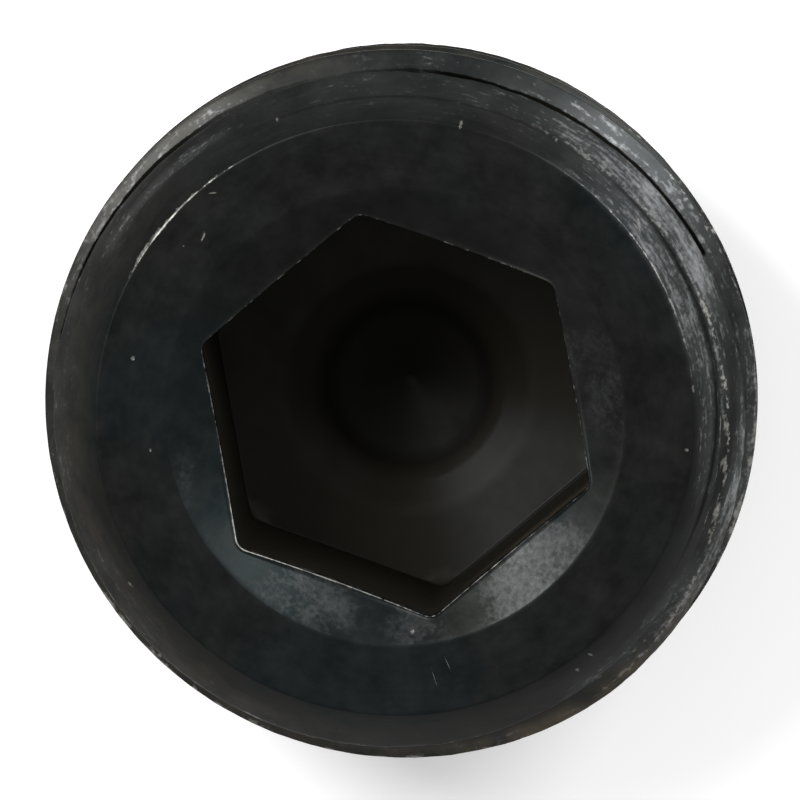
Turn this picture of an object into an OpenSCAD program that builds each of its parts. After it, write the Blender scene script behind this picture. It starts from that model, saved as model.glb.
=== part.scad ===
// Threaded plug with a hexagon socket: short, headless and slightly tapered.
// One solid. It stands on its inner end, with the socket at the top.
// The origin is the centre of the inner end face, and +Z runs along the axis.

/* [Thread] */
// Diameter over the thread crests, where the rim chamfer ends
thread_dia = 20; // [18:0.5:24]
// Distance from one thread crest to the next
thread_pitch = 1.5; // [1.2:0.05:2]
// Width of the flat on the thread crests
crest_flat = 0.19; // [0.12:0.01:0.3]
// Width of the flat at the bottom of the thread groove
root_flat = 0.25; // [0.1:0.01:0.3]
// Angle between the two flanks of the groove
flank_angle = 60; // [50:1:70]
// Length over which the diameter shrinks by 1 mm
taper_run = 16; // [12:1:60]
// Turn of the thread about the axis
thread_turn = 211; // [0:1:360]

/* [Body] */
// Length of the plug, end face to end face
plug_len = 10; // [9.5:0.1:14]
// Width of the rim chamfer round the socket end, measured along the face
rim_chamfer = 1.62; // [1:0.01:1.8]
// Slope of the rim chamfer, measured from the axis
rim_slope = 30; // [25:1:50]
// Width of the lead chamfer round the inner end, measured along the face
lead_chamfer = 2.4; // [1.5:0.05:2.6]
// Slope of the lead chamfer, measured from the axis
lead_slope = 30; // [27:1:50]

/* [Socket] */
// Width across the flats of the hexagon socket
hex_flats = 10; // [8:0.1:11]
// Width cut off each corner of the hexagon socket
hex_blunting = 0.05; // [0.02:0.01:0.2]
// Depth of the socket walls at the middle of a flat
hex_depth = 7; // [4:0.1:7.4]
// Diameter of the countersink at the face
sink_dia = 12.8; // [12:0.1:14]
// Angle between opposite sides of the countersink
sink_angle = 120; // [90:1:140]
// Width of the bevel that the punch leaves on the floor in each corner
corner_bevel = 0.2; // [0.1:0.01:0.4]
// Fall of the floor from the walls towards the dish, from level
floor_fall = 8; // [2:1:12]
// Diameter of the dish in the floor
dish_dia = 7; // [5.5:0.1:8]
// Fall of the dish towards the drill point, from level
dish_fall = 25; // [10:1:30]
// Diameter of the drill point in the middle of the floor
point_dia = 5; // [3:0.1:5.4]
// Straight step at the edge of the drill point
point_step = 0.15; // [0.05:0.05:0.3]
// Angle between opposite sides of the drill point
point_angle = 140; // [130:1:160]

/* [Hidden] */

// Straight steps in one turn of the thread groove
turn_steps = 48;
// How far cutting shapes reach past the surfaces that they cut
overcut = 0.5;

crest_r = thread_dia / 2;
rim_z = plug_len - rim_chamfer / tan(rim_slope);
lead_z = lead_chamfer / tan(lead_slope);

// Radius over the crests at height z
function crest_at(z) = crest_r - (rim_z - z) / (2 * taper_run);

// Depth at which the groove has closed to its root flat, below a mouth of this width
function groove_depth(mouth) = (mouth - root_flat) / 2 / tan(flank_angle / 2);

// One section of the groove's cutting shape, at an angle and a height on the helix.
// It reaches past the crests by half of the crest flat, so its turns stay apart.
function groove_section(angle, z) =
    let (root = root_flat / 2,
         mouth = thread_pitch - crest_flat / 2,
         root_r = crest_at(z) - groove_depth(thread_pitch - crest_flat),
         mouth_r = root_r + groove_depth(mouth))
    [for (point = [[root_r, -root], [mouth_r, -mouth / 2], [mouth_r, mouth / 2], [root_r, root]])
        [point[0] * cos(angle), point[0] * sin(angle), z + point[1]]];

// Body without its thread: tapered crests between two chamfers
module blank() {
    rotate_extrude($fn = 180)
        polygon([[0, 0], [crest_at(lead_z) - lead_chamfer, 0], [crest_at(lead_z), lead_z],
                 [crest_r, rim_z], [crest_r - rim_chamfer, plug_len], [0, plug_len]]);
}

// Right-hand helical groove, which runs out on the chamfer at each end
module thread_groove() {
    turns = (plug_len + 2 * overcut) / thread_pitch;
    steps = ceil(turns * turn_steps);
    sections = [for (i = [0:steps])
        groove_section(thread_turn - i * 360 / turn_steps,
                       plug_len + overcut - i * thread_pitch / turn_steps)];
    side_faces = [for (i = [0:steps - 1], j = [0:3])
        let (a = 4 * i + j, b = 4 * i + (j + 1) % 4)
        each [[a, a + 4, b + 4], [a, b + 4, b]]];
    last = 4 * steps;
    end_faces = [[0, 1, 2], [0, 2, 3],
                 [last, last + 2, last + 1], [last, last + 3, last + 2]];
    polyhedron([for (section = sections) each section], concat(side_faces, end_faces));
}

// Countersunk mouth, which breaks the edge of the socket at the face
module mouth() {
    sink_depth = sink_dia / 2 / tan(sink_angle / 2);
    rotate_extrude($fn = 120)
        polygon([[0, plug_len - sink_depth], [sink_dia / 2, plug_len],
                 [sink_dia / 2, plug_len + overcut], [0, plug_len + overcut]]);
}

// Hexagon prism with slightly blunt corners
module hex_prism(corner_r, height) {
    intersection() {
        cylinder(h = height, d = hex_flats / cos(30), $fn = 6);
        cylinder(h = height, r = corner_r, $fn = 120);
    }
}

// Hexagon walls above a floor that falls to the drill point
module socket() {
    wall_r = hex_flats / 2;
    corner_r = wall_r / cos(30) - hex_blunting;
    nose_r = corner_r - corner_bevel;
    floor_z = plug_len - hex_depth;
    nose_z = floor_z + (nose_r - wall_r) * tan(floor_fall);
    dish_z = floor_z - (wall_r - dish_dia / 2) * tan(floor_fall);
    point_z = dish_z - (dish_dia - point_dia) / 2 * tan(dish_fall);
    step_z = point_z - point_step;
    tip_z = step_z - point_dia / 2 / tan(point_angle / 2);
    top_z = plug_len + overcut;

    intersection() {
        translate([0, 0, tip_z])
            hex_prism(corner_r, top_z - tip_z);
        rotate_extrude($fn = 120)
            polygon([[0, tip_z], [point_dia / 2, step_z], [point_dia / 2, point_z],
                     [dish_dia / 2, dish_z], [nose_r, nose_z],
                     [corner_r + overcut, nose_z + corner_bevel + overcut],
                     [corner_r + overcut, top_z + overcut], [0, top_z + overcut]]);
    }
}

module plug() {
    color("dimgray")
        difference() {
            blank();
            thread_groove();
            mouth();
            socket();
        }
}

plug();
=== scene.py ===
"""Threaded plug of black-oxide steel: the visible model, its finish and its stage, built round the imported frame."""

import math

import bmesh
import bpy
from bpy.props import FloatProperty, FloatVectorProperty, IntProperty, PointerProperty
from mathutils import Matrix, Vector, noise


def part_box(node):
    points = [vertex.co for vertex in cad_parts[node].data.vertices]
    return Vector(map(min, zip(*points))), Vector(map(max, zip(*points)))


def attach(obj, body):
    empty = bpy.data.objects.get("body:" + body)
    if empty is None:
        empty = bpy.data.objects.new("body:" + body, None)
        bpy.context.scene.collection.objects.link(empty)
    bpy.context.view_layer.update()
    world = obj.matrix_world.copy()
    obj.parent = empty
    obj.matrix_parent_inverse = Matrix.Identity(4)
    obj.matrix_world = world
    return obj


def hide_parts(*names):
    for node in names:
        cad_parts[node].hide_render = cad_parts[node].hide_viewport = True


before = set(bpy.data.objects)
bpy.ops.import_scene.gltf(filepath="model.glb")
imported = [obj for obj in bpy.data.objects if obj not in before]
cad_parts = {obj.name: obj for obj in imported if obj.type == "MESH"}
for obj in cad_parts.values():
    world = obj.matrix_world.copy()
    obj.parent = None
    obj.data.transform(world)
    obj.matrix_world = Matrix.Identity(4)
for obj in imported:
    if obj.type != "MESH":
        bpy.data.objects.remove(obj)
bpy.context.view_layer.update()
MM = 0.001
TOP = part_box("plug")[1][2]

bl_info = {
    "name": "Threaded plug",
    "version": (1, 0, 0),
    "blender": (4, 5, 0),
    "location": "View3D > Sidebar > Plug",
    "description": "Makes a black-oxide threaded plug with a hexagon socket and its stage",
    "category": "Object",
}

# Columns of faces in one turn. The corners of the hexagon lie on columns.
COLUMNS = 360
# Vertices closer than this are one
MERGE = 0.002 * MM
# Direction on the plug that stands upright in the view, counter-clockwise from +X
VIEW_UP = math.radians(109.7)
# What the mesh code says of each vertex, and what is painted on afterwards
WOUND = ("wear", "shade", "crevice", "lip_at")
PAINTED = ("frost", "etched", "rust", "dull", "blued", "thin", "torn", "torn_at", "start")


def linear(hex_colour):
    """Linear RGBA of an sRGB hex value such as '1b1f20'."""
    channels = [int(hex_colour[i:i + 2], 16) / 255 for i in (0, 2, 4)]
    return tuple(c / 12.92 if c <= 0.04045 else ((c + 0.055) / 1.055) ** 2.4 for c in channels) + (1.0,)


def add(tree, kind, inputs=(), **settings):
    """Adds one node with its settings and links, and returns it.

    A tuple in place of a kind or an input is a sum: the operation, then what it works on.
    """
    if isinstance(kind, tuple):
        kind, inputs, settings = "ShaderNodeMath", enumerate(kind[1:]), {"operation": kind[0]}
    node = tree.nodes.new(kind)
    for name, value in settings.items():
        setattr(node, name, value)
    for key, value in dict(inputs).items():
        if isinstance(value, tuple) and isinstance(value[0], str):
            value = add(tree, value)
        if isinstance(value, bpy.types.Node):
            value = next(socket for socket in value.outputs if socket.enabled)
        if isinstance(value, bpy.types.NodeSocket):
            tree.links.new(value, node.inputs[key])
        else:
            node.inputs[key].default_value = value
    return node


def length(name, description, default):
    """A size given in millimetres."""
    return FloatProperty(name=name, description=description, default=default * MM, unit="LENGTH", precision=5)


def angle(name, description, default):
    """An angle given in degrees."""
    return FloatProperty(name=name, description=description, default=math.radians(default), unit="ROTATION",
                         precision=3)


def colour(name, description, default):
    """A colour given as an sRGB hex value."""
    return FloatVectorProperty(name=name, description=description, default=linear(default),
                               size=4, subtype="COLOR", min=0, max=1)


class PlugThread(bpy.types.PropertyGroup):
    """Sizes of the thread"""
    pitch: length("Pitch", "Distance from one thread crest to the next", 1.5)
    crest_radius: length("Crest radius", "Radius over the crests where the rim chamfer ends", 10)
    crest_flat: length("Crest flat", "Width of the flat on the crests", 0.19)
    root_flat: length("Root flat", "Width of the flat at the bottom of the groove", 0.08)
    flank_angle: angle("Flank angle", "Angle between the two flanks of the groove", 60)
    taper: FloatProperty(name="Taper", description="Shrinkage of the radius over the length", default=1 / 32)
    turn: angle("Turn", "Turn of the thread about the axis", 170)
    lip_rounding: length("Lip rounding", "How far wear rounds the lips of the groove", 0.05)
    lean: length("Lean", "Height by which the thread rises on one side, out of square with the face", 0.57)
    lean_turn: angle("Lean direction", "Direction in which the thread rises", 70)
    burr: length("Burr", "Roughness of the torn lips", 0.025)
    first_cut: length("First cut", "Depth below the face at which the groove starts", 1.1)
    seed: IntProperty(name="Seed", description="Seed of the burrs", default=3)


class PlugBody(bpy.types.PropertyGroup):
    """Sizes of the chamfers and the end faces"""
    rim_chamfer: length("Rim chamfer", "Width of the chamfer round the socket end", 1.62)
    rim_slope: angle("Rim slope", "Slope of the rim chamfer from the axis", 30)
    lead_chamfer: length("Lead chamfer", "Width of the chamfer round the inner end", 2.4)
    lead_slope: angle("Lead slope", "Slope of the lead chamfer from the axis", 30)
    edge_wear: length("Edge wear", "How far the edges of the two end faces are rounded", 0.06)


class PlugSocket(bpy.types.PropertyGroup):
    """Sizes of the hexagon socket, its countersink and its floor"""
    flats: length("Across flats", "Width across the flats of the hexagon", 10)
    rounding: length("Corner rounding", "Radius of the corners of the hexagon", 0.42)
    depth: length("Depth", "Depth of the walls at the middle of a flat", 7)
    sink_radius: length("Countersink radius", "Radius of the countersink at the face", 6.4)
    sink_angle: angle("Countersink angle", "Angle between opposite sides of the countersink", 120)
    corner_bevel: length("Corner bevel", "Bevel of the floor in the corners", 0.2)
    floor_fall: angle("Floor fall", "Fall of the floor towards the dish", 8)
    dish_radius: length("Dish radius", "Radius of the dish in the floor", 3.5)
    dish_fall: angle("Dish fall", "Fall of the dish towards the drill point", 25)
    point_radius: length("Point radius", "Radius of the drill point", 2.5)
    point_step: length("Point step", "Straight step round the drill point", 0.15)
    point_angle: angle("Point angle", "Angle between opposite sides of the drill point", 140)


class PlugFinish(bpy.types.PropertyGroup):
    """Colours of the oxide, the bare steel and what lies on them, and of painted shade and light"""
    oxide: colour("Oxide", "Black oxide on the turned faces", "151615")
    blue: colour("Blue oxide", "Bluer oxide in broad clouds", "14191a")
    residue: colour("Residue", "Dull residue in the socket", "15140f")
    worn: colour("Worn oxide", "Oxide that handling has thinned", "292a29")
    bare: colour("Bare steel", "Steel on lips and burrs", "7e7d79")
    # Also the colour of painted light on the rim and on the socket floor
    frost: colour("Frost", "Scuffed steel in the countersink and round the rim", "898b8c")
    rust: colour("Rust", "Brown tint at the rim", "4b4337")
    # Painted shade: black laid into the groove, under its lips and deep in the socket
    painted_shade: colour("Hollow", "Black depth of the groove", "050504")
    # Painted shade of the shallow groove where it starts
    shaded_score: colour("Score", "Dark score where the groove starts", "070707")


class PlugStage(bpy.types.PropertyGroup):
    """Sizes and colours of the stage"""
    card: colour("Card", "Pale card of the floor", "e6e6e6")
    floor_width: FloatProperty(name="Floor width", description="Width of the floor", default=3, unit="LENGTH")
    lamp_distance: FloatProperty(name="Lamp distance", description="Distance of the soft boxes from the face",
                                 default=0.35, unit="LENGTH")
    view_distance: FloatProperty(name="View distance", description="Distance of the camera from the face",
                                 default=1, unit="LENGTH")
    view_clock: angle("View direction", "Direction in which the camera leans, clockwise from upright", 22)
    view_lean: angle("View lean", "Lean of the camera from the axis", 7.6)


def circle_columns():
    """Directions of the columns of faces."""
    return [2 * math.pi * i / COLUMNS for i in range(COLUMNS)]


def thread_tree(thread, body, material):
    """Geometry Nodes for the outer side: one strip wound down the helix, a pitch wide, cut off by the chamfers."""
    flank = math.tan(thread.flank_angle / 2)
    rim_z = TOP - body.rim_chamfer / math.tan(body.rim_slope)
    lead_z = body.lead_chamfer / math.tan(body.lead_slope)
    column = 2 * math.pi / COLUMNS
    # The strip starts with the groove's centre half a pitch and the lean's whole swing above the face, on a whole
    # column. The thread's turn is its direction this far above the face.
    overcut = 0.5 * MM
    start_height = TOP + thread.pitch / 2 + 2 * thread.lean
    start_turn = thread.turn + (start_height - TOP - overcut) * 2 * math.pi / thread.pitch
    start_turn = round(start_turn / column) * column
    start_height = TOP + overcut + (start_turn - thread.turn) * thread.pitch / (2 * math.pi)
    turns = math.ceil((start_height + thread.pitch / 2 + 2 * thread.lean) / thread.pitch)
    values = {
        "Pitch": thread.pitch, "Crest Flat": thread.crest_flat, "Root Flat": thread.root_flat,
        "Flank Slope": flank, "Crest Radius": thread.crest_radius, "Taper": thread.taper,
        "Rim Height": rim_z, "Rim Slope": math.tan(body.rim_slope),
        "Lead Height": lead_z, "Lead Slope": math.tan(body.lead_slope),
        "Top": TOP - body.edge_wear, "Bottom": body.edge_wear,
        "Start Height": start_height, "Start Turn": start_turn, "Turns": turns,
        "Lean": thread.lean, "Lean Turn": thread.lean_turn, "Lip Rounding": thread.lip_rounding,
        "First Cut": thread.first_cut, "Burr": thread.burr, "Seed": float(thread.seed),
    }
    # Height over which the first cut deepens, half width of the rubbed band at a lip, least depth that is a groove,
    # and how far inside the crests a lip lies that hangs fully over the flank
    ramp, rubbed, least_cut, full_overhang = 0.12 * MM, 0.16 * MM, 0.02 * MM, 0.08 * MM
    # The burr's noise is taken on a circle of radius 1, so heights are counted in the same 10 mm. Its grains are
    # 0.45 mm wide, and most of them tear metal out.
    heights_in_tens, burr_grains, burr_level, burr_gain = 1 / (10 * MM), 22.0, 0.62, 4.0
    tree = bpy.data.node_groups.new("Thread", "GeometryNodeTree")
    keys = {}
    for name in values:
        keys[name] = tree.interface.new_socket(name=name, in_out="INPUT", socket_type="NodeSocketFloat").identifier
    tree.interface.new_socket(name="Geometry", in_out="OUTPUT", socket_type="NodeSocketGeometry")
    given = add(tree, "NodeGroupInput").outputs

    # Rows across the strip: two on each half of the root flat, six on each flank, four on each half crest
    root_share, lip_share, rows = 2 / 12, 8 / 12, 24
    grid = add(tree, "GeometryNodeMeshGrid", {"Size X": 1.0, "Size Y": 2.0,
                                              "Vertices X": turns * COLUMNS + 1, "Vertices Y": rows + 1})
    place = add(tree, "ShaderNodeSeparateXYZ", {0: add(tree, "GeometryNodeInputPosition")}).outputs
    wound = add(tree, ("MULTIPLY", ("MULTIPLY", ("ADD", place["X"], 0.5), given["Turns"]), 2 * math.pi))
    around = add(tree, ("SUBTRACT", given["Start Turn"], wound))
    side = add(tree, ("SIGN", place["Y"]))
    across = add(tree, ("ABSOLUTE", place["Y"]))

    # Height of the groove's centre, with the thread a little out of square
    descent = ("DIVIDE", ("MULTIPLY", wound, given["Pitch"]), 2 * math.pi)
    straight = add(tree, ("SUBTRACT", given["Start Height"], descent))
    swing = ("MULTIPLY", given["Lean"], ("COSINE", ("SUBTRACT", around, given["Lean Turn"])))
    centre = add(tree, ("ADD", straight, swing))

    # Straight lines of the unthreaded outline: radius = base + slope * height
    depth = add(tree, ("DIVIDE", ("SUBTRACT", ("SUBTRACT", given["Pitch"], given["Crest Flat"]), given["Root Flat"]),
                       ("MULTIPLY", 2.0, given["Flank Slope"])))
    crest_base = add(tree, ("SUBTRACT", given["Crest Radius"], ("MULTIPLY", given["Rim Height"], given["Taper"])))
    rim_base = add(tree, ("ADD", given["Crest Radius"], ("MULTIPLY", given["Rim Height"], given["Rim Slope"])))
    rim_fall = add(tree, ("MULTIPLY", given["Rim Slope"], -1.0))
    lead_crest = ("ADD", crest_base, ("MULTIPLY", given["Lead Height"], given["Taper"]))
    lead_base = add(tree, ("SUBTRACT", lead_crest, ("MULTIPLY", given["Lead Height"], given["Lead Slope"])))
    lines = [(crest_base, given["Taper"]), (rim_base, rim_fall), (lead_base, given["Lead Slope"])]

    # Where the flank comes out through the outline: the innermost of its crossings with the three lines
    started = add(tree, "ShaderNodeMapRange", {0: ("SUBTRACT", TOP, straight), 1: given["First Cut"],
                                               2: ("ADD", given["First Cut"], ramp)})
    shallow = ("MULTIPLY", ("SUBTRACT", 1.0, started), depth)
    crest_here = ("ADD", crest_base, ("MULTIPLY", centre, given["Taper"]))
    root = add(tree, ("ADD", ("SUBTRACT", crest_here, depth), shallow))
    half_root = add(tree, ("MULTIPLY", given["Root Flat"], 0.5))
    lips = []
    for face in (side, 1.0):
        corner = add(tree, ("ADD", centre, ("MULTIPLY", face, half_root)))
        tilt = add(tree, ("MULTIPLY", face, given["Flank Slope"]))
        foot = add(tree, ("SUBTRACT", corner, ("MULTIPLY", tilt, root)))
        crossings = [("DIVIDE", ("ADD", base, ("MULTIPLY", slope, foot)), ("SUBTRACT", 1.0, ("MULTIPLY", slope, tilt)))
                     for base, slope in lines]
        reach = add(tree, ("MAXIMUM", root, ("MINIMUM", crossings[0], ("MINIMUM", crossings[1], crossings[2]))))
        lips.append((corner, tilt, reach))
    (corner, tilt, lip_radius), (_, _, upper_lip) = lips
    lip = add(tree, ("ADD", corner, ("MULTIPLY", tilt, ("SUBTRACT", lip_radius, root))))
    crest = add(tree, ("ADD", centre, ("MULTIPLY", side, ("MULTIPLY", given["Pitch"], 0.5))))

    # Heights of the rows, which crowd together at the lip
    on_root = add(tree, "ShaderNodeMapRange", {0: across, 1: 0.0, 2: root_share})
    on_flank = add(tree, "ShaderNodeMapRange", {0: across, 1: root_share, 2: lip_share})
    on_crest = add(tree, "ShaderNodeMapRange", {0: across, 1: lip_share, 2: 1.0})
    off_lip = ("SUBTRACT", 1.0, on_flank)
    climb = ("SUBTRACT", 1.0, ("MULTIPLY", off_lip, off_lip))
    height = ("ADD", centre, ("MULTIPLY", ("SUBTRACT", corner, centre), on_root))
    height = ("ADD", height, ("MULTIPLY", ("SUBTRACT", lip, corner), climb))
    height = ("ADD", height, ("MULTIPLY", ("SUBTRACT", crest, lip), ("MULTIPLY", on_crest, on_crest)))
    height = add(tree, ("MINIMUM", ("MAXIMUM", height, given["Bottom"]), given["Top"]))

    # Radius at that height: the smaller of the groove's and the outline's, with the lip rounded
    from_root = ("SUBTRACT", ("ABSOLUTE", ("SUBTRACT", height, centre)), half_root)
    groove = add(tree, ("ADD", root, ("DIVIDE", ("MAXIMUM", from_root, 0.0), given["Flank Slope"])))
    outline = [add(tree, ("ADD", base, ("MULTIPLY", slope, height))) for base, slope in lines]
    blank = add(tree, ("MINIMUM", outline[0], ("MINIMUM", outline[1], outline[2])))
    cut = add(tree, ("SMOOTH_MIN", groove, blank, given["Lip Rounding"]))

    # Wear is full at a lip, and only where the groove is cut
    nearness = ("SUBTRACT", 1.0, ("DIVIDE", ("ABSOLUTE", ("SUBTRACT", height, lip)), rubbed))
    cut_here = add(tree, ("GREATER_THAN", lip_radius, ("ADD", root, least_cut)))
    wear = add(tree, ("MULTIPLY", ("MAXIMUM", nearness, 0.0), cut_here))
    # Painted shade, the deeper in the groove the darker
    shade = add(tree, ("MINIMUM", 1.0, ("DIVIDE", ("MAXIMUM", ("SUBTRACT", blank, cut), 0.0), depth)))

    # A lip on the chamfer overhangs the flank below it, and there painted shade blackens a crevice
    set_back = add(tree, "ShaderNodeMapRange", {0: ("SUBTRACT", outline[0], upper_lip), 1: 0.0, 2: full_overhang})
    below = ("LESS_THAN", side, 0.5)
    overhung = ("MULTIPLY", set_back, ("MULTIPLY", below, cut_here))

    # The lips are torn a little, by noise that meets itself after a turn
    compass = add(tree, "ShaderNodeCombineXYZ", {0: ("COSINE", around), 1: ("SINE", around),
                                                 2: ("MULTIPLY", height, heights_in_tens)})
    grain = add(tree, "ShaderNodeTexNoise", {"Vector": compass, "W": given["Seed"], "Scale": burr_grains,
                                             "Detail": 4.0}, noise_dimensions="4D")
    at_lip = ("MULTIPLY", wear, ("SUBTRACT", 1.0, on_crest))
    torn = ("MULTIPLY", ("MULTIPLY", ("SUBTRACT", grain.outputs[0], burr_level), at_lip),
            ("MULTIPLY", given["Burr"], burr_gain))
    radius = add(tree, ("ADD", cut, torn))
    point = add(tree, "ShaderNodeCombineXYZ", {0: ("MULTIPLY", radius, ("COSINE", around)),
                                               1: ("MULTIPLY", radius, ("SINE", around)), 2: height})
    marked = grid.outputs["Mesh"]
    for name, value in zip(WOUND, (wear, shade, overhung, upper_lip)):
        marked = add(tree, "GeometryNodeStoreNamedAttribute", {"Geometry": marked, "Name": name, "Value": value},
                     data_type="FLOAT", domain="POINT")
    wrapped = add(tree, "GeometryNodeSetPosition", {"Geometry": marked, "Position": point})
    merged = add(tree, "GeometryNodeMergeByDistance", {"Geometry": wrapped, "Distance": MERGE / 2})
    real = add(tree, "GeometryNodeRealizeInstances", {"Geometry": merged})
    finished = add(tree, "GeometryNodeSetMaterial", {"Geometry": real, "Material": material})
    add(tree, "NodeGroupOutput", {"Geometry": finished})
    return tree, {keys[name]: value for name, value in values.items()}


def wound_thread(thread, body, material):
    """Mesh of the outer side between the two worn edges, as the node tree makes it."""
    tree, inputs = thread_tree(thread, body, material)
    holder = bpy.data.objects.new("thread_holder", bpy.data.meshes.new("thread_holder"))
    bpy.context.scene.collection.objects.link(holder)
    modifier = holder.modifiers.new("Thread", "NODES")
    modifier.node_group = tree
    for key, value in inputs.items():
        modifier[key] = value
    evaluated = holder.evaluated_get(bpy.context.evaluated_depsgraph_get())
    mesh = bpy.data.meshes.new_from_object(evaluated)
    holder.modifiers.remove(modifier)
    bpy.data.objects.remove(holder)
    return mesh


def hexagon(socket, around):
    """Radius of the socket's wall in one direction."""
    fold = around % (math.pi / 3) - math.pi / 6
    off_corner = math.pi / 6 - abs(fold)
    centre = (socket.flats / 2 - socket.rounding) / math.cos(math.pi / 6)
    if off_corner < math.atan2(socket.rounding / 2, centre + socket.rounding * math.cos(math.pi / 6)):
        return centre * math.cos(off_corner) + math.sqrt(socket.rounding ** 2 - (centre * math.sin(off_corner)) ** 2)
    return socket.flats / 2 / math.cos(fold)


def socket_rings(thread, body, socket):
    """Rings from the worn rim edge over the face and down the socket to its centre.

    Each is (wear, painted shade, points).
    """
    # Steps from ring to ring on the face, the countersink, the wall, the dish and the drill point
    face_steps, sink_steps, wall_steps, dish_steps, point_steps = 18, 10, 11, 5, 12
    # The burr round the mouth of the hexagon, and how far down the wall it is rounded
    burr_width, burr_height, burr_fall = 0.05 * MM, 0.035 * MM, 0.06 * MM
    # The worn step of the drill point starts this far outside it and ends this far inside
    step_out, step_in = 0.1 * MM, 0.2 * MM
    columns = circle_columns()
    edge = body.edge_wear
    face_radius = thread.crest_radius - body.rim_chamfer
    rim_run = math.tan(body.rim_slope)
    sink_slope = 1 / math.tan(socket.sink_angle / 2)
    walls = [hexagon(socket, a) for a in columns]
    nose = max(walls) - socket.corner_bevel
    flat = socket.flats / 2
    floor = TOP - socket.depth
    dish = floor - (flat - socket.dish_radius) * math.tan(socket.floor_fall)
    point = dish - (socket.dish_radius - socket.point_radius) * math.tan(socket.dish_fall)
    tip = point - socket.point_step - socket.point_radius / math.tan(socket.point_angle / 2)

    def floor_height(radius):
        rise = max(radius - nose, 0)
        return floor + (radius - rise - flat) * math.tan(socket.floor_fall) + rise

    rings = []

    def ring(wear, shade, radii, heights):
        points = [(r * math.cos(a), r * math.sin(a), z) for a, r, z in zip(columns, radii, heights)]
        rings.append((wear, shade, points))

    def level(wear, shade, radius, height):
        ring(wear, shade, [radius] * COLUMNS, [height] * COLUMNS)

    # Worn edge of the face, a quarter turn from the chamfer to the face: wear, then shares of the edge wear out and
    # down
    for wear, out, down in ((0.9, rim_run, 1), (1, rim_run * 0.35, 0.42), (1, -0.15, 0.1), (0.5, -0.8, 0)):
        level(wear, 0, face_radius + edge * out, TOP - edge * down)
    for step in range(1, face_steps):
        level(0, 0, face_radius + (socket.sink_radius - face_radius) * step / face_steps, TOP)
    level(0, 0, socket.sink_radius + edge * 0.5, TOP)
    level(0, 0, socket.sink_radius - edge * 0.3, TOP - edge * 0.5 * sink_slope)
    # Countersink, narrowing from a circle to the hexagon
    for step in range(1, sink_steps):
        share = step / sink_steps
        radii = [socket.sink_radius + (w + burr_width - socket.sink_radius) * share for w in walls]
        ring(0, 0, radii, [TOP - (socket.sink_radius - r) * sink_slope for r in radii])
    # Burr round the mouth of the hexagon: wear, distance outward and rise over the countersink
    burr = ((0.4, burr_width, 0), (1, burr_width / 2, burr_height), (1, burr_width / 10, burr_height * 0.6),
            (0.7, 0, -burr_fall))
    for wear, out, up in burr:
        ring(wear, 0, [w + out for w in walls],
             [TOP - (socket.sink_radius - w - out) * sink_slope + up for w in walls])
    # Walls, with painted shade that darkens their lower half
    mouth = [TOP - (socket.sink_radius - w) * sink_slope - burr_fall for w in walls]
    for step in range(1, wall_steps):
        share = step / wall_steps
        heights = [z + (floor_height(w) - z) * share for z, w in zip(mouth, walls)]
        ring(0, 0.1 + 0.5 * max(0, share - 0.5), walls, heights)
    # Floor, with painted shade darkest in the corner under the walls: shade, and share of the way to the dish
    for shade, share in ((0.8, 0), (0.3, 0.03), (0, 0.1), (0, 0.25), (0, 0.45), (0, 0.65), (0, 0.85)):
        radii = [w + (socket.dish_radius - w) * share for w in walls]
        ring(0, shade, radii, [floor_height(r) for r in radii])
    # Dish, its worn step and the drill point, into which painted shade deepens
    level(0, 0, socket.dish_radius, dish)
    for step in range(1, dish_steps + 1):
        radius = socket.dish_radius + (socket.point_radius + step_out - socket.dish_radius) * step / dish_steps
        level(0, 0.06 * step, radius, dish - (socket.dish_radius - radius) * math.tan(socket.dish_fall))
    level(0, 0.7, socket.point_radius - step_in, point - socket.point_step)
    for step in range(2, point_steps):
        share = step / point_steps
        fall = (tip - point + socket.point_step) * share
        level(0, 0.8, socket.point_radius * (1 - share), point - socket.point_step + fall)
    level(0, 0.8, 0, tip)
    return rings


def end_rings(thread, body):
    """Rings from the worn edge of the inner end to its centre."""
    lead_z = body.lead_chamfer / math.tan(body.lead_slope)
    rim_z = TOP - body.rim_chamfer / math.tan(body.rim_slope)
    end_radius = thread.crest_radius - (rim_z - lead_z) * thread.taper - body.lead_chamfer
    edge = body.edge_wear
    run = edge * math.tan(body.lead_slope)
    # Wear, radius and height of each ring: the worn edge, then the flat end
    sizes = [(0.5, end_radius + run, edge), (1, end_radius + run * 0.3, edge * 0.4),
             (1, end_radius - edge * 0.2, edge * 0.08), (0.3, end_radius - edge, 0)]
    flat_steps = 8
    sizes += [(0, (end_radius - edge) * (1 - step / flat_steps), 0) for step in range(1, flat_steps + 1)]
    return [(wear, 0, [(r * math.cos(a), r * math.sin(a), z) for a in circle_columns()]) for wear, r, z in sizes]


def add_rings(mesh, rings):
    """Joins each ring to the next with faces."""
    wear = mesh.verts.layers.float["wear"]
    shade = mesh.verts.layers.float["shade"]
    above = None
    for worn, shaded, points in rings:
        below = [mesh.verts.new(p) for p in points]
        for vertex in below:
            vertex[wear], vertex[shade] = worn, shaded
        if above:
            for i in range(COLUMNS):
                j = (i + 1) % COLUMNS
                mesh.faces.new((above[i], above[j], below[j], below[i]))
        above = below


def swell(value, centre, half_width):
    """1 at the centre, falling smoothly to 0 at half_width from it."""
    return max(0.0, 1 - ((value - centre) / half_width) ** 2) ** 2


def clock_of(x, y):
    """Direction from the axis in degrees, clockwise from the direction that stands upright in the view."""
    return math.degrees(VIEW_UP - math.atan2(y, x)) % 360


def around_clock(clock, centre, half_width):
    """1 in one direction, falling smoothly to 0 at half_width degrees from it."""
    return swell((clock - centre + 180) % 360 - 180, 0, half_width)


def strongest(clock, sectors):
    """Strongest of some sectors in one direction."""
    return max(strength * around_clock(clock, centre, half_width) for strength, centre, half_width in sectors)


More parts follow.
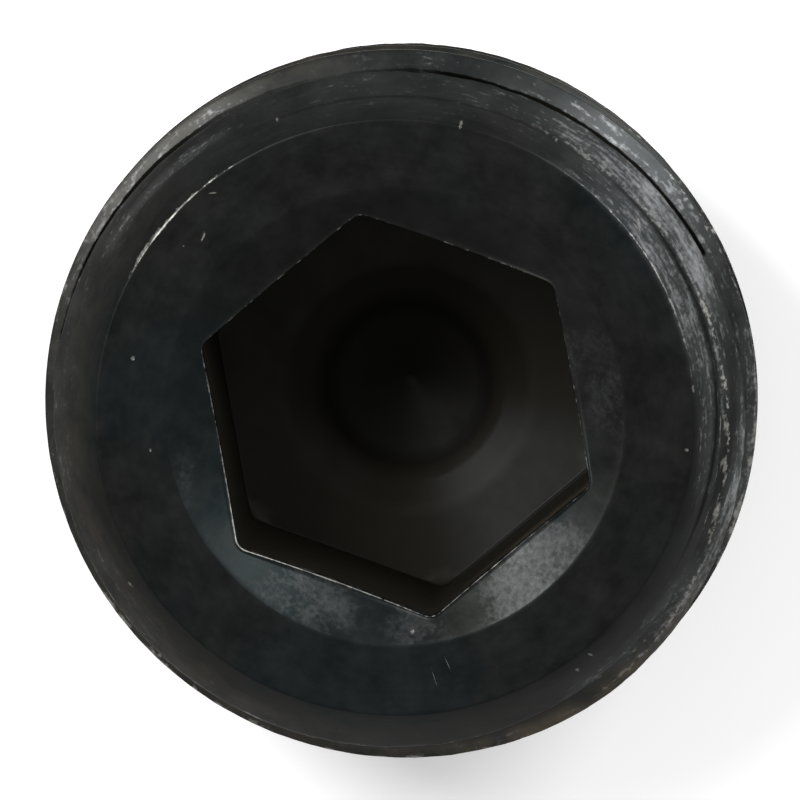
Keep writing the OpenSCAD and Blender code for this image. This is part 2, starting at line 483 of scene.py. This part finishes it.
def patched(clock, radius, z, patches, sharpness):
    """Strongest of some patches at one place. A sharpness under 1 fills them out."""
    return max(strength * around_clock(clock, centre, half_width)
               * (swell(radius, r * MM, half_r * MM) * swell(z, height * MM, half_height * MM)) ** sharpness
               for strength, centre, half_width, r, half_r, height, half_height in patches)


# Scuffed patches, partly real and partly painted light: the brightest lie where the lamps catch the rim, upper right
# and upper left, and some brighten the groove's flank on the lower right. Strength, clock direction and half width in
# degrees, then radius with its half width and height with its half width in mm
SCUFFED_AND_LIT = (
    (0.72, 50, 42, 9.65, 0.7, 7.8, 1.3),
    (1.1, 54, 38, 9.3, 0.6, 8.5, 1.1),
    (0.75, 60, 40, 8.8, 0.55, 9.2, 0.9),
    (0.90, 108, 46, 9.7, 0.45, 7.6, 1.0),
    (0.4, 128, 46, 9.3, 0.6, 8.2, 1.2),
    (0.80, 102, 46, 9.95, 0.35, 6.8, 0.7),
    (0.62, 308, 44, 9.8, 0.5, 7.4, 1.2),
    (0.8, 313, 26, 9.22, 0.12, 8.5, 0.8),
    (0.80, 75, 50, 8.9, 0.7, 9.1, 1.2),
    (0.28, 30, 120, 9.4, 1.4, 8.0, 3.0),
    (0.32, 250, 130, 9.6, 1.0, 7.8, 2.4),
    (0.60, 195, 80, 9.8, 0.35, 7.6, 0.8),
    (0.35, 315, 20, 9.2, 0.35, 8.4, 0.6),
    (0.75, 60, 44, 8.5, 0.28, 9.8, 0.5),
)
# Brown tints at the rim, in the same terms as the scuffed patches
RUST = (
    (1.0, 150, 60, 9.9, 0.5, 7.3, 1.1),
    (1.0, 225, 60, 9.9, 0.5, 7.3, 1.1),
    (0.3, 300, 80, 9.9, 0.6, 7.0, 1.6),
    (0.3, 235, 100, 9.2, 1.1, 8.4, 2.2),
    (0.35, 350, 70, 9.9, 0.6, 5.2, 1.6),
    (0.3, 30, 50, 9.9, 0.6, 4.6, 1.6),
)
# Torn lip where the groove runs out on the chamfer: clock direction in degrees, radius in mm
TORN_LIP = ((20, 8.94), (45, 9.00), (65, 9.06), (85, 9.18), (110, 9.43), (130, 9.67), (150, 9.84), (170, 9.95))
# Nicks: clock direction in degrees, radius, half length outward and round the axis in mm, turn of the nick in degrees
NICKS = (
    (12.6, 8.42, 0.10, 0.045, 0), (175.4, 6.06, 0.07, 0.06, 0), (140.8, 8.64, 0.09, 0.045, 10),
    (144.7, 8.76, 0.06, 0.05, 0), (321.0, 8.08, 0.12, 0.03, 57), (313.1, 7.35, 0.13, 0.03, -67),
    (282.5, 7.50, 0.06, 0.06, 0), (51.5, 8.66, 0.19, 0.04, 66), (168.0, 7.05, 0.28, 0.008, 12),
    (171.5, 7.35, 0.20, 0.008, 10), (237.0, 8.9, 0.05, 0.1, 0), (96.0, 8.2, 0.05, 0.04, 0),
    (309.0, 7.6, 0.05, 0.03, 0), (262.0, 6.9, 0.04, 0.05, 0), (30.0, 8.9, 0.05, 0.05, 0), (338.0, 8.9, 0.05, 0.04, 0),
)
# Sectors, each with its strength, clock direction and half width in degrees. In the countersink: etched patches, a
# painted bluish reflection and thin oxide.
ETCHED = ((0.66, 138, 27), (0.34, 203, 24), (0.2, 176, 20), (0.1, 252, 30), (0.3, 75, 45))
SINK_BLUE_REFLECTION = ((1.3, 225, 85),)
SINK_THIN = ((1.1, 58, 65),)
# In the socket: a rubbed mouth with a painted highlight on the left, brown tint of the walls, and a painted pool of
# light on the floor at lower right
MOUTH_WORN_AND_HIGHLIT = ((0.5, 215, 95),)
WALL_TINTED = ((0.8, 125, 50),)
FLOOR_PAINTED_LIGHT = ((0.42, 133, 60),)
# On the face: blue cast, and an edge that carries a painted highlight along one side and is rubbed in patches on the
# other
FACE_BLUED = ((0.8, 182, 70),)
EDGE_WORN_AND_HIGHLIT = ((0.95, 311, 28),)
EDGE_CHIPPED = ((0.8, 62, 46),)
# On the rim chamfer and the crests: thin oxide, rubbed lips, the torn lip, the score where the groove starts, darkened
# with painted shade, and where the light gets into the groove
CHAMFER_THIN = ((2.2, 128, 52),)
CRESTS_THIN = ((1, 235, 120),)
LIPS_RUBBED = ((0.6, 62, 50), (0.9, 100, 45), (0.5, 300, 45), (0.9, 205, 90))
LIP_TORN = ((1, 86, 72),)
START_SCORED = ((0.2, 0, 50), (0.8, 80, 48))
GROOVE_LIT = ((0.75, 118, 55),)
# Painted shade in the crevice under the lip of the second turn: open on the right up to a blunt end, narrower on the
# left, where it lies further out by so many mm
CREVICE_OPEN = ((1, 36, 60),)
CREVICE_END = ((0.5, 61, 6),)
BLUNT_END = 63.5
CREVICE_LEFT = ((0.5, 275, 95), (0.7, 308, 55))
CREVICE_OUT = ((0.075, 300, 75),)
# Heights that part the zones of the finish, down from the face
FACE_Z = TOP - 0.01 * MM
EDGE_Z = TOP - 0.07 * MM
SINK_Z = TOP - 0.95 * MM
CREVICE_HIGH_Z = TOP - 1.4 * MM
CHAMFER_Z = TOP - 2.7 * MM
CREVICE_LOW_Z = TOP - 3.6 * MM
FLOOR_Z = TOP - 6 * MM
SOCKET_Z = TOP - 9.5 * MM
# Radii that part them: the drill point with its step, the face, its edge, and where the thin oxide of the crests begins
POINT_R = 2.65 * MM
FACE_R = 8.45 * MM
EDGE_R = 8.38 * MM
THIN_R = 8.7 * MM
CREST_R = 9.9 * MM


def torn_radius(clock):
    """Radius of the torn lip in mm in one direction."""
    for (low, inner), (high, outer) in zip(TORN_LIP, TORN_LIP[1:]):
        if clock <= high:
            return inner + (outer - inner) * max(0, clock - low) / (high - low)
    return TORN_LIP[-1][1]


def paint_socket(vertex, on, radius, clock, patchy):
    """Finish of the countersink and of the socket below it, with painted highlight, reflection and light."""
    z = vertex.co.z
    # The burr round the mouth is bright all round, and a painted highlight makes it brightest on the left
    vertex[on["wear"]] *= 0.5 + strongest(clock, MOUTH_WORN_AND_HIGHLIT)
    if z > SINK_Z:
        # A painted bluish reflection on the lower left of the countersink
        vertex[on["blued"]] = strongest(clock, SINK_BLUE_REFLECTION)
        vertex[on["thin"]] = strongest(clock, SINK_THIN)
        vertex[on["etched"]] = strongest(clock, ETCHED) + 0.25 * patchy
    else:
        tint_z, tint_height = TOP - 1.6 * MM, 1.6 * MM
        vertex[on["dull"]] = 1
        # Painted light: a pool of light on the floor at lower right
        vertex[on["frost"]] = strongest(clock, FLOOR_PAINTED_LIGHT) * (radius > POINT_R and z < FLOOR_Z)
        vertex[on["rust"]] = strongest(clock, WALL_TINTED) * swell(z, tint_z, tint_height)


def paint_outside(vertex, on, radius, clock, patchy, ragged):
    """Finish of the face, the chamfers and the thread, with painted shade, highlights and light."""
    z = vertex.co.z
    on_face = z > FACE_Z
    on_chamfer = z > CHAMFER_Z and radius < CREST_R
    # Scuffs, with painted light where the lamps catch the rim and on the groove's flank at lower right
    vertex[on["frost"]] = patched(clock, radius, z, SCUFFED_AND_LIT, 0.5) * (1 + 0.5 * patchy)
    vertex[on["rust"]] = patched(clock, radius, z, RUST, 1)
    vertex[on["blued"]] = strongest(clock, FACE_BLUED) if on_face and radius < FACE_R else 0

    # Oxide thins from the edge of the face outward: by 2 for each mm, up to a limit
    outer = min(1.6, max(0, (radius - THIN_R) / MM * 2))
    inner = min(1, max(0, (radius - EDGE_R) / MM * 2))
    chamfer_thin = 0.85 + strongest(clock, CHAMFER_THIN)
    vertex[on["thin"]] = 0 if on_face else chamfer_thin * inner + strongest(clock, CRESTS_THIN) * outer

    # The face edge is bright as a painted highlight on the upper left, and in chips on the right
    if z > EDGE_Z:
        vertex[on["wear"]] *= max(strongest(clock, EDGE_WORN_AND_HIGHLIT), strongest(clock, EDGE_CHIPPED) * (patchy > -0.15))
    else:
        vertex[on["wear"]] *= max(0.25, strongest(clock, LIPS_RUBBED)) * (0.8 + 0.9 * ragged)
    vertex[on["torn"]] = strongest(clock, LIP_TORN) ** 0.7 if on_chamfer else 0
    vertex[on["torn_at"]] = torn_radius(clock)
    vertex[on["start"]] = strongest(clock, START_SCORED) if on_chamfer else 0

    # Painted shade blackens the crevice on the second turn only
    if z < CREVICE_HIGH_Z:
        before_end = (clock + 180) % 360 - 180 < BLUNT_END
        opened = strongest(clock, CREVICE_OPEN) + strongest(clock, CREVICE_END) if before_end else 0.1
        vertex[on["crevice"]] *= max(opened, strongest(clock, CREVICE_LEFT)) if z > CREVICE_LOW_Z else 0
        vertex[on["lip_at"]] += strongest(clock, CREVICE_OUT) * MM
    else:
        vertex[on["crevice"]] *= 0.3
    if on_chamfer:
        vertex[on["shade"]] *= 1 - strongest(clock, GROOVE_LIT)


def paint(mesh, socket):
    """Writes how each vertex is finished, and where shade and light are painted."""
    # Widths of the patches in which wear comes and goes, and how far past the countersink its finish reaches
    patch_width, ragged_width, past_sink = 1.3 * MM, 0.5 * MM, 0.02 * MM
    layers = mesh.verts.layers.float
    on = {name: layers[name] for name in WOUND}
    on.update({name: layers.new(name) for name in PAINTED})
    for vertex in mesh.verts:
        x, y, z = vertex.co
        radius, clock = math.hypot(x, y), clock_of(x, y)
        patchy = noise.noise(vertex.co / patch_width)
        if radius < socket.sink_radius + past_sink and SOCKET_Z < z < FACE_Z:
            paint_socket(vertex, on, radius, clock, patchy)
        else:
            paint_outside(vertex, on, radius, clock, patchy, noise.noise(vertex.co / ragged_width))


def oxide_material(finish):
    """Black oxide over turned steel."""
    # Steel turned on a lathe and blackened in a hot salt bath. It gives the eye a satin near-black with cold glints and
    # a bluer cast in places, fine marks of the tool round the axis, and bright metal on rubbed edges and torn lips.
    # Painted shade blackens the groove and the depths of the socket, and painted light, highlights and a bluish
    # reflection brighten the rim, the face edge, the mouth and the socket floor.
    material = bpy.data.materials.new("Black-oxide turned steel")
    material.use_nodes = True
    tree = material.node_tree
    tree.nodes.clear()
    place = add(tree, "ShaderNodeTexCoord").outputs["Object"]
    wear, shade, crevice, lip_at, frost, etched, rust, dull, blued, thin, torn, torn_at, start = (
        add(tree, "ShaderNodeAttribute", attribute_name=name).outputs["Fac"] for name in (*WOUND, *PAINTED))

    # Blotches that the bath leaves are 1.1 mm wide, in clouds of 7 mm. The grain of the oxide, a few micrometres, is
    # too fine to show, so it is drawn 0.15 mm wide.
    blotch_width, cloud_width, grain_width = 1.1 * MM, 7 * MM, 0.15 * MM
    mottle = add(tree, "ShaderNodeTexNoise", {"Vector": place, "Scale": 1 / blotch_width, "Detail": 6.0,
                                              "Roughness": 0.65}).outputs[0]
    cloud = add(tree, "ShaderNodeTexNoise", {"Vector": place, "Scale": 1 / cloud_width, "Detail": 2.0}).outputs[0]
    fine = add(tree, "ShaderNodeTexNoise", {"Vector": place, "Scale": 1 / grain_width, "Detail": 3.0,
                                            "Roughness": 0.6}).outputs[0]
    # Marks of the turning tool lie 0.05 mm apart, too fine to show. They are drawn as streaks 0.7 mm long and 0.2 mm
    # apart, which run round the axis at the radius of the rim.
    streak_length, streak_gap, rim_radius = 0.7 * MM, 0.2 * MM, 9 * MM
    axes = add(tree, "ShaderNodeSeparateXYZ", {0: place}).outputs
    squares = ("ADD", ("MULTIPLY", axes["X"], axes["X"]), ("MULTIPLY", axes["Y"], axes["Y"]))
    reach = add(tree, ("SQRT", squares))
    compass = [("MULTIPLY", ("DIVIDE", axes[axis], reach), rim_radius / streak_length) for axis in "XY"]
    across = add(tree, "ShaderNodeCombineXYZ", {0: compass[0], 1: compass[1],
                                                2: ("DIVIDE", ("SUBTRACT", reach, axes["Z"]), streak_gap)})
    rings = add(tree, "ShaderNodeTexNoise", {"Vector": across, "Scale": 1.0, "Detail": 4.0,
                                             "Roughness": 0.6}).outputs[0]
    crystals = add(tree, ("ADD", ("MULTIPLY", fine, 0.5), ("MULTIPLY", mottle, 0.5)))
    grain = add(tree, ("ADD", ("MULTIPLY", fine, 0.4), ("MULTIPLY", rings, 0.6)))

    # Nicks, each a small ragged ellipse that reaches this far down the chamfer
    nick_height = 2 * MM
    marks = 2.0
    for clock, radius, half_out, half_round, skew in NICKS:
        turn = VIEW_UP - math.radians(clock)
        centre = (radius * MM * math.cos(turn), radius * MM * math.sin(turn), TOP)
        widths = (half_out * MM, half_round * MM, nick_height)
        spot = add(tree, "ShaderNodeMapping", {"Vector": place, "Location": centre, "Scale": widths,
                                               "Rotation": (0, 0, turn + math.radians(skew))}, vector_type="TEXTURE")
        away = add(tree, "ShaderNodeVectorMath", {0: spot}, operation="LENGTH").outputs["Value"]
        marks = ("MINIMUM", marks, away)
    frayed = ("MULTIPLY", ("SUBTRACT", fine, 0.5), 2.6)
    nick = add(tree, "ShaderNodeMapRange", {0: ("ADD", marks, frayed), 1: 1.15, 2: 0.5})

    # Oxide: black, with a blue cast in clouds and a painted bluish reflection in the countersink, and greyer in
    # blotches, in streaks and where it is thin
    blotch = add(tree, "ShaderNodeMapRange", {0: mottle, 1: 0.35, 2: 0.7})
    streak = add(tree, "ShaderNodeMapRange", {0: rings, 1: 0.4, 2: 0.65})
    cast = add(tree, "ShaderNodeMapRange", {0: ("ADD", cloud, ("MULTIPLY", blued, 0.25)), 1: 0.45, 2: 0.7})
    ground = add(tree, "ShaderNodeMix", {0: cast, 6: tuple(finish.oxide), 7: tuple(finish.blue)}, data_type="RGBA")
    uneven = ("MULTIPLY", ("ADD", blotch, ("MULTIPLY", streak, 0.3)), 0.36)
    base = add(tree, "ShaderNodeMix", {0: ("ADD", uneven, ("MULTIPLY", thin, 0.22)), 6: ground, 7: tuple(finish.worn)},
               data_type="RGBA")
    dusty = add(tree, "ShaderNodeMix", {0: dull, 6: base, 7: tuple(finish.residue)}, data_type="RGBA")

    # Painted shade: the flank is black in a ragged band, up to 0.2 mm wide, which shows past the lip that overhangs it
    band_inward, band_half, band_fray, band_soft = 0.11 * MM, 0.05 * MM, 0.16 * MM, 0.025 * MM
    off_band = ("ABSOLUTE", ("SUBTRACT", reach, ("SUBTRACT", lip_at, band_inward)))
    half_band = ("ADD", band_half, ("MULTIPLY", crevice, band_half))
    ragged = ("MULTIPLY", ("SUBTRACT", mottle, 0.5), band_fray)
    beyond = ("ADD", ("SUBTRACT", off_band, half_band), ragged)
    gap = add(tree, "ShaderNodeMapRange", {0: beyond, 1: band_soft, 2: band_soft * -0.4})
    painted_shade = ("MULTIPLY", gap, ("MINIMUM", 1.0, ("MULTIPLY", crevice, 1.6)))
    # Painted shade: black deepens with the groove, down the socket's walls, in the floor's corners and in the drill
    # point
    sunk = add(tree, "ShaderNodeMapRange", {0: shade, 1: 0.45, 2: 1.0, 4: 0.97})
    in_shade = add(tree, ("MAXIMUM", painted_shade, sunk))
    deep = add(tree, "ShaderNodeMix", {0: in_shade, 6: dusty, 7: tuple(finish.painted_shade)}, data_type="RGBA")

    # Where the groove starts: a score 0.05 to 0.25 mm wide, dark with painted shade, and outside it a lip torn into
    # bright grains
    score_radius, score_drift, score_half, score_growth = 8.9, 0.06, 0.03, 0.14
    reach_mm = ("DIVIDE", reach, MM)
    off_score = ("ABSOLUTE", ("SUBTRACT", reach_mm, ("ADD", score_radius, ("MULTIPLY", start, score_drift))))
    shaded_score = add(tree, "ShaderNodeMapRange", {0: off_score, 1: ("ADD", score_half, ("MULTIPLY", start, score_growth)),
                                             2: 0.0})
    shaded_score = add(tree, ("MULTIPLY", shaded_score, ("MINIMUM", 0.75, ("MULTIPLY", start, 2.0))))
    off_lip = ("ABSOLUTE", ("SUBTRACT", reach_mm, torn_at))
    tear = add(tree, "ShaderNodeMapRange", {0: ("SUBTRACT", crystals, ("MULTIPLY", off_lip, 1.4)), 1: 0.47, 2: 0.56})
    tear = add(tree, ("MULTIPLY", tear, torn))

    # Scuffed metal, which is partly painted light, is a soft veil with streaks of bare grain in it, but a veil alone on
    # residue, where it is a painted pool of light on the floor. Etched metal has grains only.
    streaks = add(tree, "ShaderNodeMapRange", {0: ("ADD", ("MULTIPLY", frost, 0.3), grain), 1: 0.62, 2: 1.05})
    veil = ("MULTIPLY", ("MINIMUM", 1.0, ("MAXIMUM", 0.0, frost)), ("ADD", 0.1, ("MULTIPLY", blotch, 0.1)))
    grains = add(tree, "ShaderNodeMapRange", {0: ("ADD", ("MULTIPLY", etched, 0.4), crystals), 1: 0.58, 2: 0.9})
    # Both come in gently at the borders of their patches
    visible = ("MINIMUM", 1.0, ("MULTIPLY", 4.0, ("MAXIMUM", 0.0, ("MAXIMUM", frost, etched))))
    scuff_and_light_in = ("MINIMUM", 1.0, ("MULTIPLY", 3.0, ("MAXIMUM", 0.0, frost)))
    etched_in = ("MINIMUM", 1.0, ("MULTIPLY", 3.0, ("MAXIMUM", 0.0, etched)))
    pitted = ("MULTIPLY", ("MULTIPLY", grains, 0.105), etched_in)
    brushed = ("MULTIPLY", scuff_and_light_in, ("MAXIMUM", veil, ("MULTIPLY", streaks, ("SUBTRACT", 1.0, dull))))
    amount = ("MULTIPLY", visible, ("MAXIMUM", pitted, brushed))
    in_open = ("SUBTRACT", 1.0, ("MAXIMUM", in_shade, shaded_score))
    with_scuffs_and_light = add(tree, "ShaderNodeMix", {0: ("MULTIPLY", amount, in_open), 6: deep, 7: tuple(finish.frost)},
                  data_type="RGBA")
    scored = add(tree, "ShaderNodeMix", {0: shaded_score, 6: with_scuffs_and_light, 7: tuple(finish.shaded_score)}, data_type="RGBA")

    # Brown tint in blotches, and bare metal where lips and edges are rubbed, torn or nicked, which on the face edge and
    # round the mouth is partly a painted highlight
    tint = ("MULTIPLY", ("MULTIPLY", rust, ("SUBTRACT", 1.0, in_shade)), ("ADD", 0.1, ("MULTIPLY", blotch, 0.7)))
    tinted = add(tree, "ShaderNodeMix", {0: tint, 6: scored, 7: tuple(finish.rust)}, data_type="RGBA")
    grainy = ("ADD", wear, ("MULTIPLY", ("SUBTRACT", grain, 0.5), 2.6))
    scuffed = add(tree, "ShaderNodeMapRange", {0: grainy, 1: 0.55, 2: 1.05})
    scuffed = ("MULTIPLY", scuffed, ("MINIMUM", 1.0, ("MULTIPLY", ("MAXIMUM", wear, 0.0), 4.0)))
    rubbed = ("MAXIMUM", ("MAXIMUM", scuffed, tear), ("MULTIPLY", nick, 0.45))
    skin = add(tree, "ShaderNodeMix", {0: rubbed, 6: tinted, 7: tuple(finish.bare)}, data_type="RGBA")

    # Satin gloss that varies with the blotches. Residue is matt and hides the metal.
    gloss = add(tree, "ShaderNodeMapRange", {0: mottle, 1: 0.3, 2: 0.7, 3: 0.36, 4: 0.48})
    rough = ("ADD", gloss, ("MULTIPLY", dull, 0.12))
    metallic = ("SUBTRACT", 1.0, ("MULTIPLY", dull, 0.8))
    shine = ("SUBTRACT", 0.5, ("MULTIPLY", dull, 0.35))
    # Relief of the grain and the tool marks, a few micrometres high, and of the nicks
    relief_height = 0.006 * MM
    grooved = ("ADD", ("MULTIPLY", fine, 0.7), ("MULTIPLY", rings, 0.3))
    relief = ("SUBTRACT", grooved, ("MULTIPLY", nick, 3.0))
    bump = add(tree, "ShaderNodeBump", {"Height": relief, "Distance": relief_height, "Strength": 0.5})
    surface = add(tree, "ShaderNodeBsdfPrincipled", {"Base Color": skin, "Metallic": metallic, "Roughness": rough,
                                                     "Specular Tint": linear("bcbcbc"), "Normal": bump,
                                                     "Specular IOR Level": shine})
    add(tree, "ShaderNodeOutputMaterial", {"Surface": surface})
    return material


class PLUG_OT_body(bpy.types.Operator):
    """Makes the plug: thread, end faces and socket in one closed mesh"""
    bl_idname = "plug.make_body"
    bl_label = "Make the plug"

    def execute(self, context):
        scene = context.scene
        thread, body, socket = scene.plug_thread, scene.plug_body, scene.plug_socket
        material = oxide_material(scene.plug_finish)
        outer = wound_thread(thread, body, material)
        mesh = bmesh.new()
        mesh.from_mesh(outer)
        bpy.data.meshes.remove(outer)
        add_rings(mesh, socket_rings(thread, body, socket))
        add_rings(mesh, end_rings(thread, body))
        bmesh.ops.remove_doubles(mesh, verts=mesh.verts, dist=MERGE)
        bmesh.ops.dissolve_degenerate(mesh, edges=mesh.edges, dist=MERGE / 4)
        bmesh.ops.recalc_face_normals(mesh, faces=mesh.faces)
        if any(len(edge.link_faces) != 2 for edge in mesh.edges):
            raise RuntimeError("The mesh of the plug isn't closed")
        paint(mesh, socket)
        for face in mesh.faces:
            face.smooth = True
        plug_mesh = bpy.data.meshes.new("threaded_plug")
        mesh.to_mesh(plug_mesh)
        mesh.free()
        plug_mesh.materials.append(material)
        plug = bpy.data.objects.new("threaded_plug", plug_mesh)
        scene.collection.objects.link(plug)
        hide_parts("plug")
        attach(plug, "root")
        return {"FINISHED"}


class PLUG_OT_stage(bpy.types.Operator):
    """Makes the floor, the lights, the white surroundings and the camera"""
    bl_idname = "plug.make_stage"
    bl_label = "Make the stage"

    def execute(self, context):
        scene = context.scene
        stage = scene.plug_stage
        scene.view_settings.view_transform = "Standard"

        # Floor
        mesh = bpy.data.meshes.new("floor")
        half = stage.floor_width / 2
        mesh.from_pydata([(-half, -half, 0), (half, -half, 0), (half, half, 0), (-half, half, 0)], [], [(0, 1, 2, 3)])
        floor = bpy.data.objects.new("floor", mesh)
        scene.collection.objects.link(floor)
        # Uncoated white card. It gives the eye a plain pale ground without glints, on which the shadow lies softly. The
        # glow, seen only by the camera and in the gloss of the steel, brings it up to white.
        glow_strength = 0.35
        material = bpy.data.materials.new("Matt white card")
        material.use_nodes = True
        tree = material.node_tree
        tree.nodes.clear()
        seen = add(tree, "ShaderNodeLightPath").outputs
        card = add(tree, "ShaderNodeBsdfDiffuse", {"Color": tuple(stage.card)})
        glow = add(tree, "ShaderNodeEmission", {"Color": linear("ffffff"), "Strength": glow_strength})
        shown = ("MAXIMUM", seen["Is Camera Ray"], seen["Is Glossy Ray"])
        lit = add(tree, "ShaderNodeAddShader", {0: card, 1: glow})
        surface = add(tree, "ShaderNodeMixShader", {0: shown, 1: card, 2: lit})
        add(tree, "ShaderNodeOutputMaterial", {"Surface": surface})
        mesh.materials.append(material)

        # World, white to the camera and in reflections, and dimmer as a light
        as_light, as_seen = 0.4, 1.0
        world = bpy.data.worlds.new("studio")
        scene.world = world
        world.use_nodes = True
        tree = world.node_tree
        tree.nodes.clear()
        seen = add(tree, "ShaderNodeLightPath").outputs
        mirrored = ("ADD", seen["Is Glossy Ray"], seen["Is Transmission Ray"])
        shown = ("MINIMUM", 1.0, ("ADD", seen["Is Camera Ray"], mirrored))
        strength = ("ADD", as_light, ("MULTIPLY", shown, as_seen - as_light))
        air = add(tree, "ShaderNodeBackground", {"Color": linear("ffffff"), "Strength": strength})
        add(tree, "ShaderNodeOutputWorld", {"Surface": air})

        # Two soft boxes, right and left of the upright direction: name, clock direction and rise in degrees, power in
        # watts, width and height in metres
        boxes = (("softbox_right", 45, 24, 1.25, 0.14, 0.24), ("softbox_left", -50, 45, 1.4, 0.14, 0.20))
        for name, clock, rise, power, width, height in boxes:
            turn = VIEW_UP - math.radians(clock)
            lift = math.radians(rise)
            away = Vector((math.cos(lift) * math.cos(turn), math.cos(lift) * math.sin(turn), math.sin(lift)))
            light = bpy.data.lights.new(name, "AREA")
            light.energy = power
            light.shape = "RECTANGLE"
            light.size, light.size_y = width, height
            lamp = bpy.data.objects.new(name, light)
            lamp.location = away * stage.lamp_distance + Vector((0, 0, TOP))
            lamp.rotation_euler = away.to_track_quat("Z", "Y").to_euler()
            scene.collection.objects.link(lamp)

        # Camera, high above and leaning a little to the upper right
        turn, lean, distance = VIEW_UP - stage.view_clock, stage.view_lean, stage.view_distance
        away = Vector((math.sin(lean) * math.cos(turn), math.sin(lean) * math.sin(turn), math.cos(lean)))
        up = Vector((math.cos(VIEW_UP), math.sin(VIEW_UP), 0))
        right = up.cross(away).normalized()
        above = away.cross(right)
        # Width of the picture in pixels, pixels to the millimetre at the face, and how far right of the middle of the
        # face and above it the camera aims, in pixels
        picture_width, scale, aim_right, aim_above = 800, 35.85, 5.1, 17.5
        pixel = MM / scale
        aim = Vector((0, 0, TOP)) + right * aim_right * pixel + above * aim_above * pixel
        film_width = 36
        camera_data = bpy.data.cameras.new("camera")
        camera_data.sensor_width = film_width
        camera_data.lens = film_width * distance / (picture_width * pixel)
        camera_data.clip_start = 0.1
        camera_data.clip_end = 10
        camera = bpy.data.objects.new("camera", camera_data)
        turned = Matrix((right, above, away)).transposed().to_4x4()
        camera.matrix_world = Matrix.Translation(aim + away * distance) @ turned
        scene.collection.objects.link(camera)
        scene.camera = camera
        return {"FINISHED"}


class PLUG_PT_panel(bpy.types.Panel):
    """Lists the steps that make the plug, with their sizes and colours"""
    bl_idname = "PLUG_PT_panel"
    bl_label = "Threaded plug"
    bl_space_type = "VIEW_3D"
    bl_region_type = "UI"
    bl_category = "Plug"

    def draw(self, context):
        layout = self.layout
        for group in GROUPS:
            values = getattr(context.scene, group)
            box = layout.box()
            for name in values.__annotations__:
                box.prop(values, name)
        layout.operator(PLUG_OT_body.bl_idname)
        layout.operator(PLUG_OT_stage.bl_idname)


GROUPS = {"plug_thread": PlugThread, "plug_body": PlugBody, "plug_socket": PlugSocket, "plug_finish": PlugFinish,
          "plug_stage": PlugStage}
CLASSES = (*GROUPS.values(), PLUG_OT_body, PLUG_OT_stage, PLUG_PT_panel)


def register():
    for cls in CLASSES:
        bpy.utils.register_class(cls)
    for name, group in GROUPS.items():
        setattr(bpy.types.Scene, name, PointerProperty(type=group))


def unregister():
    for name in GROUPS:
        delattr(bpy.types.Scene, name)
    for cls in reversed(CLASSES):
        bpy.utils.unregister_class(cls)


def main():
    register()
    bpy.ops.plug.make_body()
    bpy.ops.plug.make_stage()


if __name__ == "__main__":
    main()
